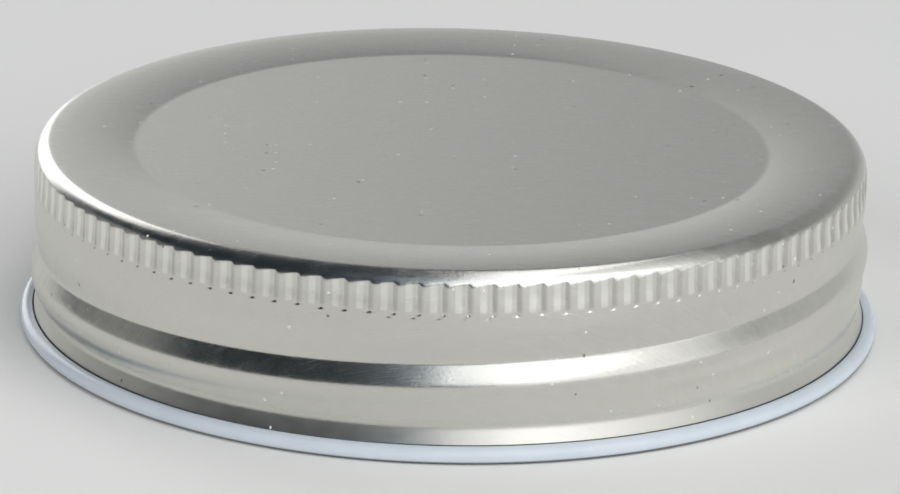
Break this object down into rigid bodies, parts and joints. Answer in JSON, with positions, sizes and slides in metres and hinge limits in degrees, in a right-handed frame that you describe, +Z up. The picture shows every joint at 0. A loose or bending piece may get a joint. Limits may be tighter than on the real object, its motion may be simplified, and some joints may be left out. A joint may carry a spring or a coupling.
{
  "type": "jar lid",
  "caption": "One-piece steel screw lid for a glass preserving jar, with a knurled edge, a rolled thread, a curled hem and a sealing ring.",
  "frame": {"origin": "middle of the plane that the curled hem stands on", "axes": "+Z up through the top panel, along the lid's axis; +X to the right in the picture, +Y away from the viewer"},
  "size_m": [0.0734, 0.0734, 0.0158],
  "materials": {
    "sheet_steel": "brushed bare steel outside, white lacquer inside and on the hem",
    "sealing_compound": "smooth off-white soft compound"
  },
  "bodies": {
    "root": {"lid_shell": "sheet_steel", "sealing_ring": "sealing_compound"}
  },
  "joints": []
}
